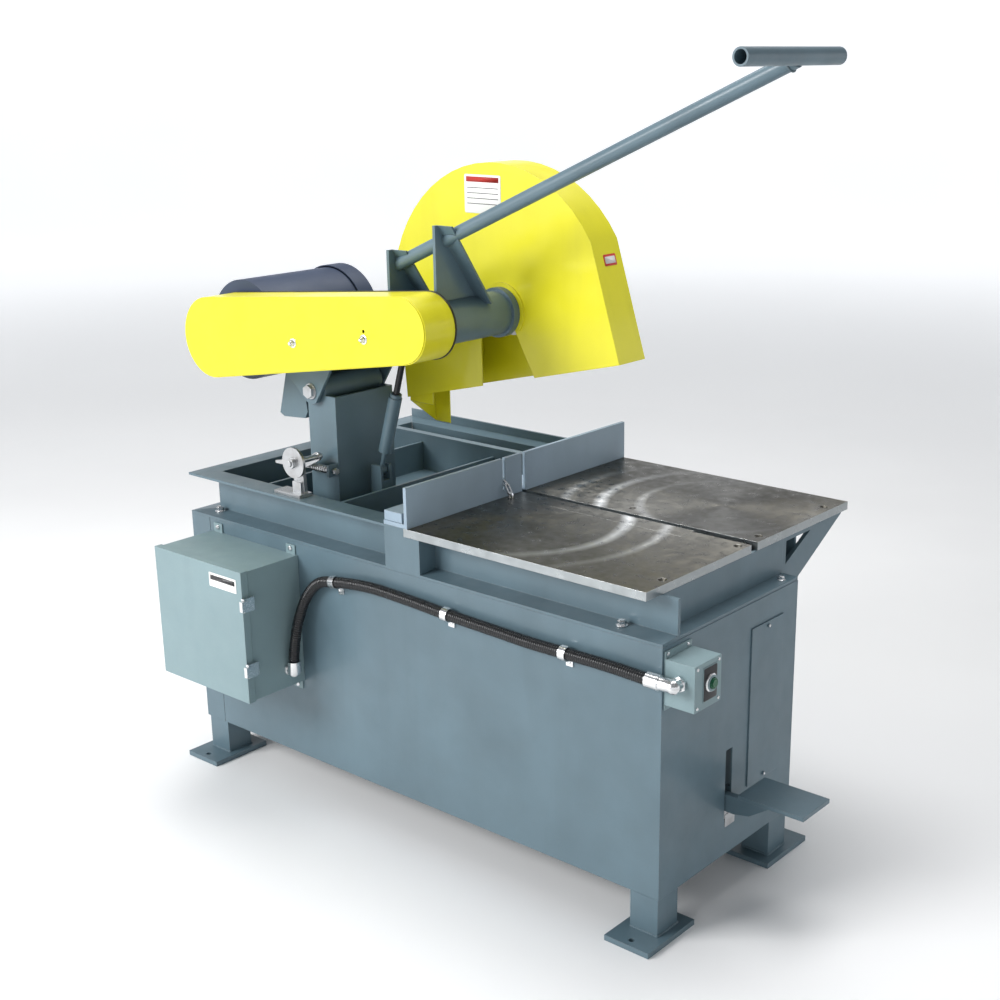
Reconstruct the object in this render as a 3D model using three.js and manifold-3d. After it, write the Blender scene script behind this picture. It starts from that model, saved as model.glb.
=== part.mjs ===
// Abrasive chop saw, millimetres, +Z up, +X toward the operator, -Y the conduit side.
// Numbers are measured from the operator end of the base, its near side and the floor; the machine
// group then moves everything so that the frame starts under the middle of the bounding box.
import * as THREE from 'three';
import { mergeVertices } from 'three/addons/utils/BufferGeometryUtils.js';
import Module from 'manifold-3d';

const wasm = await Module();
wasm.setup();

const ORIGIN = [-658.5, 309, 0];
const GAP = 0.3;
const SKIN = 3;

// Base cabinet and frame
const LENGTH = 1489;
const BASE_WIDTH = 518;
const BASE_BOTTOM = 103;
const BASE_TOP = 671;
const SHEET = 4;
const LEG = 72;
const LEG_WALL = 5;
const LEG_CENTRE = SHEET + GAP + LEG / 2;
const FOOT_PLATE = 12.8;
const TRAY_Z = 597;
const FRAME_WIDTH = 808;
const FRAME_TOP = 778;
const FLANGE = 60;
const WEB = 8;
const LIP_TOP = 801;
const MID_NEAR = 600;
const GUSSET_FRONT = [-60, -50];
const BEARER_Z = 700;
const BEARER_X = [-1248, -977];

// Table and fence
const TABLE_FRONT = -42;
const TABLE_BACK = -716;
const PLATE = 19;
const PLATE_Z = [FRAME_TOP - PLATE, FRAME_TOP];
const STRIP_NEAR = 340;
const STRIP_END = -196;
const FENCE_FACE = -704;
const FENCE_THICK = 9;
const FENCE_TOP = 874;
const CHAIN = { x: -684, y: 330 };

// Pedestal and tension unit; a pair is an X and a Z
const PED_X = [-1168, -1070];
const PED_Y = [134, 326];
const PED_TOP = 1006;
const DISC = [-1107, 861];
const CRANK_PIN = [-1162, 829];
const SPRING_AT = [118, 827];

// Electrical parts and foot pedal
const BOX_X = [-1406, -1083];
const BOX_Z = [312, 639];
const CONDUIT_R = 13.3;
const CONDUIT_Y = -17.5;
const ELBOW_LOW = [-1062, -49, 359];
const ELBOW_HIGH = [40, CONDUIT_Y, 604];
const BUTTON = [57, 600];
const PEDAL_PIVOT = [-310, 232];

// Head; a pair is an X and a Z
const PIVOT = [-1138, 1016];
const SPINDLE = [-722, 1221];
const MOTOR = [-1386, 1138];
const EAR_Y = [118, 342];
const EAR_THICK = 8;
const EAR_BACK = -1256;
const BELT_SLOPE = (SPINDLE[1] - MOTOR[1]) / (SPINDLE[0] - MOTOR[0]);
const COVER_Y = [19, 113.5];
const COVER_END = [-1386, 1134];
const ARM_Y = 163;
const ARM_R = 15.5;
const ARM_SLOPE = 0.432;
const GRIP = [158, 1786];
const GUARD_Y = [354, 450];
const GUARD_CENTRE = [-745, 1225];
const GUARD_R = 334;
const WHEEL_Y = 402;

// Damper, from the bearer pin up to the head pin
const DAMPER_Y = 240;
const DAMPER_FOOT = [-1030, 812];
const DAMPER_HEAD = [-936, 1114];

const FINISH = {
  framePaint: { color: 0x5f6f7c, roughness: 0.45, metalness: 0.2 },
  guardPaint: { color: 0xf2d11c, roughness: 0.35, metalness: 0.1 },
  motorPaint: { color: 0x2a3a52, roughness: 0.4, metalness: 0.2 },
  fencePaint: { color: 0x8d989f, roughness: 0.45, metalness: 0.2 },
  boxPaint: { color: 0xa3b0ab, roughness: 0.5, metalness: 0.1 },
  groundSteel: { color: 0x8a7f76, roughness: 0.3, metalness: 1 },
  turnedSteel: { color: 0xb4b6b8, roughness: 0.3, metalness: 1 },
  plated: { color: 0xd5d8da, roughness: 0.15, metalness: 1 },
  jacket: { color: 0x18191b, roughness: 0.5, metalness: 0 },
  button: { color: 0x123a26, roughness: 0.25, metalness: 0 },
  castIron: { color: 0x4a4b4e, roughness: 0.6, metalness: 0.8 },
  rubber: { color: 0x1c1c1c, roughness: 0.85, metalness: 0 },
  black: { color: 0x17181a, roughness: 0.4, metalness: 0.2 },
};

// ---- shapes: three.js geometry, turned into solids that can be joined and cut ----
function solid(geometry) {
  geometry.deleteAttribute('normal');
  geometry.deleteAttribute('uv');
  const welded = mergeVertices(geometry, 1e-3);
  return new wasm.Manifold(new wasm.Mesh({
    numProp: 3,
    vertProperties: welded.attributes.position.array,
    triVerts: Uint32Array.from(welded.index.array),
  }));
}

function join(...solids) {
  return solids.flat().reduce((whole, piece) => whole.add(piece));
}

function cut(whole, ...solids) {
  return whole.subtract(join(...solids));
}

function box(x, y, z) {
  const size = [x, y, z].map(([low, high]) => high - low);
  const centre = [x, y, z].map(([low, high]) => (low + high) / 2);
  return solid(new THREE.BoxGeometry(...size).translate(...centre));
}

function rodX(radius, [y, z], x, sides = 24) {
  const rod = new THREE.CylinderGeometry(radius, radius, x[1] - x[0], sides).rotateZ(-Math.PI / 2);
  return solid(rod.translate((x[0] + x[1]) / 2, y, z));
}

function rodY(radius, [x, z], y, sides = 28, farRadius = radius) {
  const rod = new THREE.CylinderGeometry(farRadius, radius, y[1] - y[0], sides);
  return solid(rod.translate(x, (y[0] + y[1]) / 2, z));
}

function rodZ(radius, [x, y], z, sides = 16, topRadius = radius) {
  const rod = new THREE.CylinderGeometry(topRadius, radius, z[1] - z[0], sides).rotateX(Math.PI / 2);
  return solid(rod.translate(x, y, (z[0] + z[1]) / 2));
}

function rodBetween(a, b, radius, sides = 20) {
  const from = new THREE.Vector3(...a);
  const to = new THREE.Vector3(...b);
  const rod = new THREE.CylinderGeometry(radius, radius, from.distanceTo(to), sides);
  const heading = to.clone().sub(from).normalize();
  rod.applyQuaternion(new THREE.Quaternion().setFromUnitVectors(new THREE.Vector3(0, 1, 0), heading));
  return solid(rod.translate(...from.add(to).multiplyScalar(0.5)));
}

function ball(radius, at) {
  return solid(new THREE.SphereGeometry(radius, 16, 12).translate(...at));
}

function outline(points) {
  return new THREE.Shape(points.map(([a, b]) => new THREE.Vector2(a, b)));
}

function extrude(shape, depth, segments) {
  return new THREE.ExtrudeGeometry(shape, { depth, bevelEnabled: false, curveSegments: segments });
}

// A plate drawn in X and Z, running from y[0] to y[1].
function plateXZ(shape, y, segments = 10) {
  const drawn = Array.isArray(shape) ? outline(shape) : shape;
  return solid(extrude(drawn, y[1] - y[0], segments).rotateX(Math.PI / 2).translate(0, y[1], 0));
}

// A plate drawn in Y and Z, running from x[0] to x[1].
function plateYZ(points, x) {
  const plate = extrude(outline(points), x[1] - x[0], 1);
  return solid(plate.rotateX(Math.PI / 2).rotateZ(Math.PI / 2).translate(x[0], 0, 0));
}

// A plate drawn in X and Y, running from z[0] to z[1].
function plateXY(points, z) {
  return solid(extrude(outline(points), z[1] - z[0], 1).translate(0, 0, z[0]));
}

// The outline of a band stretched round two circles, one of radius ra about a and one of rb about b.
function bandShape(a, ra, b, rb) {
  const run = Math.hypot(b[0] - a[0], b[1] - a[1]);
  const heading = Math.atan2(b[1] - a[1], b[0] - a[0]);
  const lean = Math.acos((ra - rb) / run);
  const shape = new THREE.Shape();
  shape.absarc(a[0], a[1], ra, heading + lean, heading - lean + 2 * Math.PI, false);
  shape.absarc(b[0], b[1], rb, heading - lean, heading + lean, false);
  return shape;
}

// ---- scene graph ----
function jointGroup(parent, at) {
  const group = new THREE.Group();
  group.userData.at = new THREE.Vector3(...at);
  group.position.copy(group.userData.at).sub(parent.userData.at);
  parent.add(group);
  return group;
}

function toGeometry(body) {
  const { vertProperties, triVerts } = body.getMesh();
  const geometry = new THREE.BufferGeometry();
  geometry.setAttribute('position', new THREE.BufferAttribute(vertProperties, 3));
  geometry.setIndex(Array.from(triVerts));
  return geometry;
}

// Adds a piece drawn in machine coordinates to a group that sits on its joint.
function add(group, name, finish, piece) {
  const geometry = piece.isBufferGeometry ? piece : toGeometry(piece);
  const { at } = group.userData;
  const material = new THREE.MeshStandardMaterial(FINISH[finish]);
  const mesh = new THREE.Mesh(geometry.translate(-at.x, -at.y, -at.z), material);
  mesh.name = name;
  group.add(mesh);
  return mesh;
}

const machine = new THREE.Group();
machine.userData.at = new THREE.Vector3();
machine.position.set(-ORIGIN[0], -ORIGIN[1], -ORIGIN[2]);
const base = jointGroup(machine, [0, 0, 0]);
const head = jointGroup(base, [PIVOT[0], 0, PIVOT[1]]);
const spindle = jointGroup(head, [SPINDLE[0], 0, SPINDLE[1]]);
const rotor = jointGroup(head, [MOTOR[0], 0, MOTOR[1]]);
const damperBarrel = jointGroup(base, [DAMPER_FOOT[0], DAMPER_Y, DAMPER_FOOT[1]]);
const damperPiston = jointGroup(damperBarrel, [DAMPER_HEAD[0], DAMPER_Y, DAMPER_HEAD[1]]);
const pedal = jointGroup(base, [PEDAL_PIVOT[0], 0, PEDAL_PIVOT[1]]);
const door = jointGroup(base, [BOX_X[0] - 3.5, -158, 0]);
const dial = jointGroup(base, [DISC[0], 0, DISC[1]]);

// ---- base cabinet ----
function cabinetShell() {
  const whole = box([-LENGTH, 0], [0, BASE_WIDTH], [BASE_BOTTOM, BASE_TOP - GAP]);
  const hollow = box([-LENGTH + SHEET, -SHEET], [SHEET, BASE_WIDTH - SHEET],
    [BASE_BOTTOM + SHEET, BASE_TOP - GAP - SHEET]);
  const mouth = box([-LENGTH + 34, -34], [34, BASE_WIDTH - 34], [BASE_BOTTOM - 1, BASE_TOP + 1]);
  const slot = box([-6, 6], [243, 269], [188, 356]);
  const reach = LEG / 2 + GAP;
  const legHoles = [-LEG_CENTRE, LEG_CENTRE - LENGTH].flatMap(x => [LEG_CENTRE, BASE_WIDTH - LEG_CENTRE].map(
    y => box([x - reach, x + reach], [y - reach, y + reach], [90, BASE_BOTTOM + SHEET + 1])));
  const seams = [[-1, 1.2], [BASE_WIDTH - 1.2, BASE_WIDTH + 1]].map(
    y => box([-LENGTH + 72, -LENGTH + 73.5], y, [BASE_BOTTOM - 1, BASE_TOP]));
  return cut(whole, hollow, mouth, slot, legHoles, seams);
}

// A leg drawn about its own axis, with its foot plate reaching out toward -Y.
function leg() {
  const half = LEG / 2;
  const outer = box([-half, half], [-half, half], [FOOT_PLATE - 1, TRAY_Z - GAP]);
  const room = half - LEG_WALL;
  const bore = box([-room, room], [-room, room], [FOOT_PLATE, TRAY_Z]);
  const foot = box([-57.5, 57.5], [-98.8, 70.2], [0, FOOT_PLATE]);
  return cut(join(outer, foot), bore, rodZ(7, [0, -78.3], [-1, FOOT_PLATE + 1]));
}

function addLegs() {
  for (const [side, y, turn] of [['near', LEG_CENTRE, 0], ['far', BASE_WIDTH - LEG_CENTRE, Math.PI]]) {
    for (const [end, x] of [['front', -LEG_CENTRE], ['rear', LEG_CENTRE - LENGTH]]) {
      const mesh = add(base, `leg_${side}_${end}`, 'framePaint', leg());
      mesh.position.set(x, y, 0);
      mesh.rotation.z = turn;
    }
  }
}

function sparkTray() {
  const inset = SHEET + GAP;
  const pan = box([-LENGTH + inset, -inset], [inset, BASE_WIDTH - inset], [TRAY_Z, TRAY_Z + 45]);
  const inside = box([-LENGTH + inset + SKIN, -inset - SKIN],
    [inset + SKIN, BASE_WIDTH - inset - SKIN], [TRAY_Z + SKIN, TRAY_Z + 50]);
  return cut(pan, inside, rodZ(16, [CHAIN.x, CHAIN.y], [TRAY_Z - 1, TRAY_Z + 5]));
}

function accessCover() {
  const sheet = box([GAP, GAP + SKIN], [329, 457], [236, 611]);
  const screws = [601, 246].map(z => rodX(4.5, [393, z], [SKIN, SKIN + 3.5], 12));
  return join(sheet, screws);
}

// ---- upper frame ----
const CHANNEL = [[0, BASE_TOP], [FLANGE, BASE_TOP], [FLANGE, FRAME_TOP], [0, FRAME_TOP],
  [0, FRAME_TOP - 6], [FLANGE - WEB, FRAME_TOP - 10], [FLANGE - WEB, BASE_TOP + 10], [0, BASE_TOP + 6]];

// What a side rail loses at its rear corner, where it meets the rear rail.
function mitre(y, side) {
  const x = [-LENGTH - 40 + GAP, -LENGTH + FLANGE + 40 + GAP];
  const reach = [y - (40 + GAP) * side, y + (FLANGE + 40 - GAP) * side];
  return plateXY([[x[0], reach[0]], [x[1], reach[1]], [x[0], reach[1]]], [BASE_TOP - 1, LIP_TOP + 1]);
}

function railNear() {
  const rail = plateYZ(CHANNEL, [-LENGTH, 0]);
  const block = box([-778, -668], [0, FLANGE - WEB + 1], [BASE_TOP + 5, FRAME_TOP]);
  const cope = box([TABLE_BACK - GAP, 1], [-1, FLANGE + 1], [PLATE_Z[0] - GAP, FRAME_TOP + 1]);
  return cut(join(rail, block), cope, mitre(0, 1));
}

// The far rail ends at the fence; in front of it the far table plate overhangs to the gusset.
function railFar() {
  const rail = plateYZ(CHANNEL.map(([y, z]) => [FRAME_WIDTH - y, z]), [-LENGTH, TABLE_BACK - GAP]);
  const lip = box([-LENGTH, -779], [FRAME_WIDTH - 7, FRAME_WIDTH], [FRAME_TOP - 3, LIP_TOP]);
  return cut(join(rail, lip), mitre(FRAME_WIDTH, -1));
}

function railRear() {
  const rail = plateXZ(CHANNEL.map(([x, z]) => [x - LENGTH, z]), [0, FRAME_WIDTH]);
  const x = [-LENGTH - 1, -LENGTH + FLANGE + 1];
  const keep = [[x[0], -1], [x[1], FLANGE + 1], [x[1], FRAME_WIDTH - FLANGE - 1], [x[0], FRAME_WIDTH + 1]];
  return rail.intersect(plateXY(keep, [BASE_TOP - 1, FRAME_TOP + 1]));
}

function railFront() {
  const under = PLATE_Z[0] - GAP;
  const angle = [[TABLE_FRONT - 8, BASE_TOP], [-1, BASE_TOP], [-1, BASE_TOP + 7], [TABLE_FRONT, BASE_TOP + 8],
    [TABLE_FRONT, under], [TABLE_FRONT - 8, under]];
  return plateXZ(angle, [FLANGE + GAP, BASE_WIDTH - GAP]);
}

// The middle rail carries the bearer and runs from the rear rail to the front gusset.
function railMid() {
  const section = [[MID_NEAR, BASE_TOP], [MID_NEAR + 50, BASE_TOP], [MID_NEAR + 50, BASE_TOP + 7],
    [MID_NEAR + 6, BASE_TOP + 9], [MID_NEAR + 6, LIP_TOP - 7], [MID_NEAR + 22, LIP_TOP - 6],
    [MID_NEAR + 22, LIP_TOP], [MID_NEAR, LIP_TOP]];
  const rail = plateYZ(section, [-LENGTH + FLANGE + GAP, GUSSET_FRONT[0] - GAP]);
  const cope = box([TABLE_BACK - 72, 1], [MID_NEAR - 1, MID_NEAR + 60], [PLATE_Z[0] - GAP, LIP_TOP + 1]);
  return cut(rail, cope);
}

function pedestalBearer() {
  const y = [FLANGE + GAP, MID_NEAR - GAP];
  const floor = box(BEARER_X, y, [BEARER_Z - 10, BEARER_Z]);
  const walls = [[BEARER_X[1] - 8, BEARER_X[1]], [BEARER_X[0], BEARER_X[0] + 8]].map(
    x => box(x, y, [BEARER_Z - 1, FRAME_TOP]));
  const pinZ = DAMPER_FOOT[1];
  const post = plateXZ([[-1052, BEARER_Z - 1], [-1008, BEARER_Z - 1], [-1014, pinZ + 14], [-1046, pinZ + 14]],
    [DAMPER_Y - 19, DAMPER_Y + 19]);
  const fork = box([-1056, -1004], [DAMPER_Y - 11, DAMPER_Y + 11], [pinZ - 24, pinZ + 20]);
  return join(floor, walls, cut(post, fork), rodY(6, DAMPER_FOOT, [DAMPER_Y - 15, DAMPER_Y + 15], 16));
}

// The front gusset carries the overhanging far plate from the cabinet wall to its far edge.
function gussetFront() {
  const wall = BASE_WIDTH + GAP;
  const under = PLATE_Z[0] - GAP;
  const web = [[wall, 604], [548, 604], [558, 619], [792, 752], [792, under], [wall, under]];
  const window = plateYZ([[545, 690], [650, 745], [545, 745]], [GUSSET_FRONT[0] - 1, GUSSET_FRONT[1] + 1]);
  return cut(plateYZ(web, GUSSET_FRONT), window);
}

// The rear gusset is a wing under the far rail, from the cabinet wall out to its toe.
function gussetRear() {
  const web = [[BASE_WIDTH + GAP, 560], [536, 560], [556, 612], [FRAME_WIDTH - 8, BASE_TOP - 8],
    [FRAME_WIDTH - 8, BASE_TOP - GAP], [BASE_WIDTH + GAP, BASE_TOP - GAP]];
  return plateYZ(web, [-1300, -1290]);
}

// ---- table and fence ----
function countersunk(at, radius = 5.5) {
  return join(rodZ(radius, at, [PLATE_Z[0] - 1, FRAME_TOP + 1]),
    rodZ(radius, at, [FRAME_TOP - 5, FRAME_TOP + 0.01], 16, radius + 5));
}

function tablePlateNear() {
  const plate = box([TABLE_BACK, TABLE_FRONT], [0, 385], PLATE_Z);
  const strip = box([TABLE_BACK - 1, STRIP_END], [STRIP_NEAR, 386], [PLATE_Z[0] - 1, FRAME_TOP + 1]);
  const chainHole = rodZ(8.6, [CHAIN.x, CHAIN.y], [PLATE_Z[0] - 1, FRAME_TOP + 1]);
  return cut(plate, strip, chainHole, countersunk([-62, 83]), countersunk([-62, 362]));
}

function tablePlateFar() {
  const plate = box([TABLE_BACK, TABLE_FRONT], [411, FRAME_WIDTH], PLATE_Z);
  return cut(plate, countersunk([-64, 449]), countersunk([-64, 734]), countersunk([-409, 449], 4));
}

function tableStrip() {
  return box([TABLE_BACK, STRIP_END - GAP], [STRIP_NEAR + GAP, 393], PLATE_Z);
}

function fencePiece(y) {
  const back = FENCE_FACE - FENCE_THICK;
  const face = box([back, FENCE_FACE], y, [FRAME_TOP + GAP, FENCE_TOP]);
  return join(face, box([-778, back + 1], y, [FRAME_TOP + GAP, FRAME_TOP + 10]));
}

function fenceNear() {
  const x = [FENCE_FACE - FENCE_THICK - 1, FENCE_FACE + 1];
  return cut(fencePiece([0, 395]), box(x, [CHAIN.y - 5, CHAIN.y + 5], [796, FENCE_TOP + 1]));
}

function fenceBar() {
  const bar = box([-777, -722], [2, 300], [FRAME_TOP + 10 + GAP, 811]);
  return cut(bar, box([-771, -728], [8, 301], [FRAME_TOP + 16, 805]));
}

// Links hooked through the fence notch, each turned a quarter from the last.
function holdDownChain() {
  const wire = 2.6;
  const span = 17;
  const pitch = 23.4;
  const section = bandShape([0, 0], 7, [span, 0], 6.99);
  section.holes.push(bandShape([0, 0], 3, [span, 0], 2.99));
  const at = [-716, 820];
  const links = [30, 60, 90, 90, 90].map((dive, i) => {
    const turn = THREE.MathUtils.degToRad(dive);
    const link = extrude(section, 2 * wire, 2).translate(0, 0, -wire).rotateX(i % 2 ? 0 : Math.PI / 2);
    const placed = link.rotateY(turn).translate(at[0], CHAIN.y, at[1]);
    at[0] += pitch * Math.cos(turn);
    at[1] -= pitch * Math.sin(turn);
    return solid(placed);
  });
  return join(links);
}

// ---- pedestal and tension unit ----
function pedestal() {
  const column = box(PED_X, PED_Y, [BEARER_Z + GAP, PED_TOP]);
  const inside = box([PED_X[0] + 8, PED_X[1] - 8], [PED_Y[0] + 8, PED_Y[1] - 8], [BEARER_Z + 12, PED_TOP + 1]);
  const foot = box([-1236, -1060], [PED_Y[0] - 12, PED_Y[1] + 12], [BEARER_Z + GAP, BEARER_Z + 14]);
  const barrel = rodY(34, PIVOT, PED_Y);
  const bore = rodY(20.3, PIVOT, [PED_Y[0] - 1, PED_Y[1] + 1], 20);
  const lug = box([-1080, -1072], [104, PED_Y[0] + 1], [812, 842]);
  return cut(join(cut(column, inside), foot, barrel, lug), bore, rodX(4.5, SPRING_AT, [-1081, -1071], 16));
}

// The bracket holds the dial's shaft, whose crank at the far end pulls on the spring.
function tensionBracket() {
  const foot = box([-1171, -1079], [13, 54], [FRAME_TOP + GAP, FRAME_TOP + 8]);
  const neck = plateXZ([[-1126, FRAME_TOP + 7], [-1088, FRAME_TOP + 7], [-1093, 874], [-1121, 874]], [38, 48]);
  const cheek = box([-1122, -1092], [30, 40], [FRAME_TOP + 7, 812]);
  const crank = plateXZ(bandShape(DISC, 11, CRANK_PIN, 8), [98, 105], 5);
  return join(foot, neck, cheek, crank, rodY(7, DISC, [9, 112], 16), rodY(4, CRANK_PIN, [104, 127], 16));
}

function tensionDisc() {
  const lever = plateXZ([[-1107, 870], [-1107, 850], [-1176, 849], [-1178, 855]], [28, 34]);
  const whole = join(rodY(38, DISC, [22, 29], 32), rodY(13, DISC, [12, 36], 20), lever);
  return cut(whole, rodY(7.5, DISC, [8, 40], 16));
}

function tensionSpring() {
  const [y, z] = SPRING_AT;
  const starts = Array.from({ length: 8 }, (_, i) => -1150 + 7.5 * i);
  const coils = starts.map(x => rodX(10, SPRING_AT, [x, x + 4.5], 10));
  const core = rodX(8, SPRING_AT, [-1151, -1085], 10);
  const stud = rodX(4, SPRING_AT, [-1086, -1056], 12);
  const nut = rodX(8.5, SPRING_AT, [-1066, -1058], 6);
  const hook = box([-1166, -1150], [y - 3, y + 3], [z - 5, z + 8]);
  const eye = rodY(9, CRANK_PIN, [y - 4, y + 4], 20);
  return cut(join(coils, core, stud, nut, hook, eye), rodY(4.4, CRANK_PIN, [y - 8, y + 8], 16));
}

// ---- electrical enclosure, conduit and push button ----
function enclosureBox() {
  const body = box(BOX_X, [-172, -GAP], BOX_Z);
  const inside = box([BOX_X[0] + 2, BOX_X[1] - 2], [-173, -4], [BOX_Z[0] + 2, BOX_Z[1] - 2]);
  const tabs = [-1381, -1105].flatMap(x => [[BOX_Z[1] - 1, BOX_Z[1] + 24], [BOX_Z[0] - 24, BOX_Z[0] + 1]].map(
    z => box([x - 16, x + 16], [-3.3, -GAP], z)));
  const knockout = rodX(9, [ELBOW_LOW[1], ELBOW_LOW[2]], [BOX_X[1] - 4, BOX_X[1] + 1], 20);
  return cut(join(cut(body, inside), tabs), knockout);
}

function enclosureDoor() {
  const rim = (side, y) => box([BOX_X[0] - side, BOX_X[1] + side], y, [BOX_Z[0] - side, BOX_Z[1] + side]);
  return cut(rim(2.5, [-178, -158]), rim(0.6, [-175.5, -157]));
}

function doorLatch() {
  return join(box([-10, 0], [0, 31], [-17, 17]), box([-6, 4], [-9, 9], [-13, 13]));
}

// Each latch turns about the front corner of its own body.
function addLatches() {
  for (const [name, z] of [['upper', 562], ['lower', 396]]) {
    const latch = jointGroup(door, [BOX_X[1] + 12.8, -181, z]);
    const mesh = new THREE.Mesh(toGeometry(doorLatch()), new THREE.MeshStandardMaterial(FINISH.turnedSteel));
    mesh.name = `door_latch_${name}`;
    latch.add(mesh);
  }
}

function conduit() {
  const y = CONDUIT_Y;
  const route = [[-1062, -49, 386], [-1058, -46, 430], [-1051, -36, 490], [-1030, -23, 552], [-992, y, 592],
    [-935, y, 607], [-822, y, 620], [-691, y, 618], [-571, y, 612], [-433, y, 608], [-334, y, 605],
    [-235, y, 606], [-119, y, 607], [-24, y, 604]];
  const curve = new THREE.CatmullRomCurve3(route.map(point => new THREE.Vector3(...point)));
  const round = new THREE.EllipseCurve(0, 0, CONDUIT_R, CONDUIT_R);
  const section = new THREE.Shape(round.getPoints(10).slice(0, 10));
  return new THREE.ExtrudeGeometry(section, { steps: 32, bevelEnabled: false, extrudePath: curve });
}

function elbowLow() {
  const [x, y, z] = ELBOW_LOW;
  const wall = BOX_X[1] + GAP;
  return join(ball(17, ELBOW_LOW), rodX(14, [y, z], [wall, x]), rodX(17.5, [y, z], [wall, wall + 5.7], 6),
    rodZ(16.5, [x, y], [z + 3, z + 25], 24));
}

function elbowHigh() {
  const [x, y, z] = ELBOW_HIGH;
  return join(rodX(16.5, [y, z], [-23.5, 8]), ball(15.5, ELBOW_HIGH), rodX(14.5, [y, z], [0, x]),
    rodY(14, [x, z], [y, 4.6], 24), rodY(17.5, [x, z], [-1.5, 4.6], 6));
}

// A one-hole strap drawn about the conduit's line: a half ring over it and a tab against the cabinet.
function conduitClamp() {
  const wall = -CONDUIT_Y - GAP;
  const ring = rodX(CONDUIT_R + 3, [0, 0], [-9, 9]);
  const bore = rodX(CONDUIT_R + 0.8, [0, 0], [-10, 10]);
  const open = box([-10, 10], [6, 23], [-9, 30]);
  const tab = box([-9, 9], [wall - 3, wall], [-34, -12]);
  const neck = box([-9, 9], [2, wall], [-CONDUIT_R - 3.2, -CONDUIT_R - 0.9]);
  return cut(join(cut(ring, bore, open), tab, neck), box([-12, 12], [wall, wall + 20], [-60, 60]));
}

// The straps follow the conduit's slope, given in degrees.
function addClamps() {
  const places = [['rear', -935, 607, 10], ['middle', -571, 612, -2.2], ['front', -235, 606, 0.5]];
  for (const [name, x, z, slope] of places) {
    const mesh = add(base, `clamp_${name}`, 'plated', conduitClamp());
    mesh.position.set(x, CONDUIT_Y, z);
    mesh.rotation.y = THREE.MathUtils.degToRad(-slope);
  }
}

function buttonBox() {
  const back = box([GAP, 4], [5, 97], [536, 662]);
  const body = box([3, 75], [5, 98], [548, 647]);
  const plate = box([74, 76.5], [33, 82], [562, 636]);
  return cut(join(back, body, plate, rodX(17, BUTTON, [75, 84], 28)), rodX(12.4, BUTTON, [60, 90], 28));
}

function startButton() {
  return join(rodX(11.6, BUTTON, [68, 87], 28), rodX(9, BUTTON, [86, 89], 28));
}

// ---- foot pedal ----
function footPedal() {
  const side = [[-322, 216], [-322, 248], [20, 250], [60, 256], [120, 256], [60, 216], [20, 208]];
  const arm = plateXZ(side, [248, 264]);
  const hub = rodY(20, PEDAL_PIVOT, [246, 266], 20);
  return join(arm, hub, rodY(8, PEDAL_PIVOT, [228, 284], 16), box([38, 200], [236, 345], [255, 265]));
}

function pedalBracket() {
  const z = [206, 258];
  const cheeks = [[236, 241], [271, 276]].map(y => box([-346, -SHEET - GAP], y, z));
  const ties = [[205, 242], [270, 307]].map(y => box([-12, -SHEET - GAP], y, z));
  return cut(join(cheeks, ties, box([-346, -338], [236, 276], z)), rodY(8.4, PEDAL_PIVOT, [230, 285], 16));
}

// ---- head ----
function beltLine(x, offset) {
  return [x, SPINDLE[1] + (x - SPINDLE[0]) * BELT_SLOPE + offset];
}

function damperLugs() {
  const side = [[-962, 1158], [-910, 1158], [-920, 1100], [-952, 1100]];
  const cheeks = plateXZ(side, [DAMPER_Y - 19, DAMPER_Y + 19]);
  const room = box([-970, -900], [DAMPER_Y - 12, DAMPER_Y + 12], [1080, 1136]);
  return join(cut(cheeks, room), rodY(5, DAMPER_HEAD, [DAMPER_Y - 15, DAMPER_Y + 15], 16));
}

// A hollow beam with an ear each side of the pedestal, the motor's plate behind and a cradle for the tube.
function headFrame() {
  const inner = [EAR_Y[0] + EAR_THICK, EAR_Y[1] - EAR_THICK];
  const ear = [[EAR_BACK, 1102], [-1216, 1046], [-1154, 988], [-1138, 982], [-1122, 988], [-1076, 1058],
    [-1046, 1108], beltLine(-1046, 36), beltLine(EAR_BACK, 36)];
  const ears = [[EAR_Y[0], inner[0]], [inner[1], EAR_Y[1]]].map(y => plateXZ(ear, y));
  const side = [beltLine(EAR_BACK, -30), beltLine(-784, -44), beltLine(-784, 40), beltLine(EAR_BACK, 36)];
  const room = [beltLine(-1300, -22), beltLine(-796, -34), beltLine(-796, 30), beltLine(-1300, 28)];
  const beam = cut(plateXZ(side, EAR_Y), plateXZ(room, inner));
  const motorPlate = plateXZ([[-1240, 1112], [EAR_BACK, 1112], [EAR_BACK, 1070], [-1294, 936], [-1279, 928],
    [-1200, 934], [-1190, 952], [-1216, 1112]], [150, inner[1]]);
  const pedestalRoom = box([PED_X[0] - 16, PED_X[1] + 16], [inner[0] + 0.3, inner[1] - 0.3], [900, 1062]);
  const cradle = cut(box([-790, -768], [150, 320], [1172, 1238]), rodY(51.3, SPINDLE, [100, 345], 36));
  const bore = rodY(20, PIVOT, [EAR_Y[0] - 1, EAR_Y[1] + 1], 20);
  return cut(join(ears, beam, motorPlate, damperLugs(), cradle), bore, pedestalRoom);
}

function pivotShaft() {
  const ends = [[EAR_Y[0] - 12, EAR_Y[0] - GAP], [EAR_Y[1] + GAP, EAR_Y[1] + 11]];
  const nuts = ends.map(y => rodY(17, PIVOT, y, 6));
  return join(rodY(19.6, PIVOT, [EAR_Y[0] - 2, EAR_Y[1] + 4], 20), nuts);
}

function spindleHousing() {
  const tube = rodY(50.8, SPINDLE, [EAR_Y[0], 332], 40);
  const collar = rodY(58, SPINDLE, [331, 349.5], 36);
  return cut(join(tube, collar), rodY(30, SPINDLE, [EAR_Y[0] - 1, 351], 20));
}

function armPoint(x) {
  return [x, ARM_Y, 1345 + ARM_SLOPE * (x + 854)];
}

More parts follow.
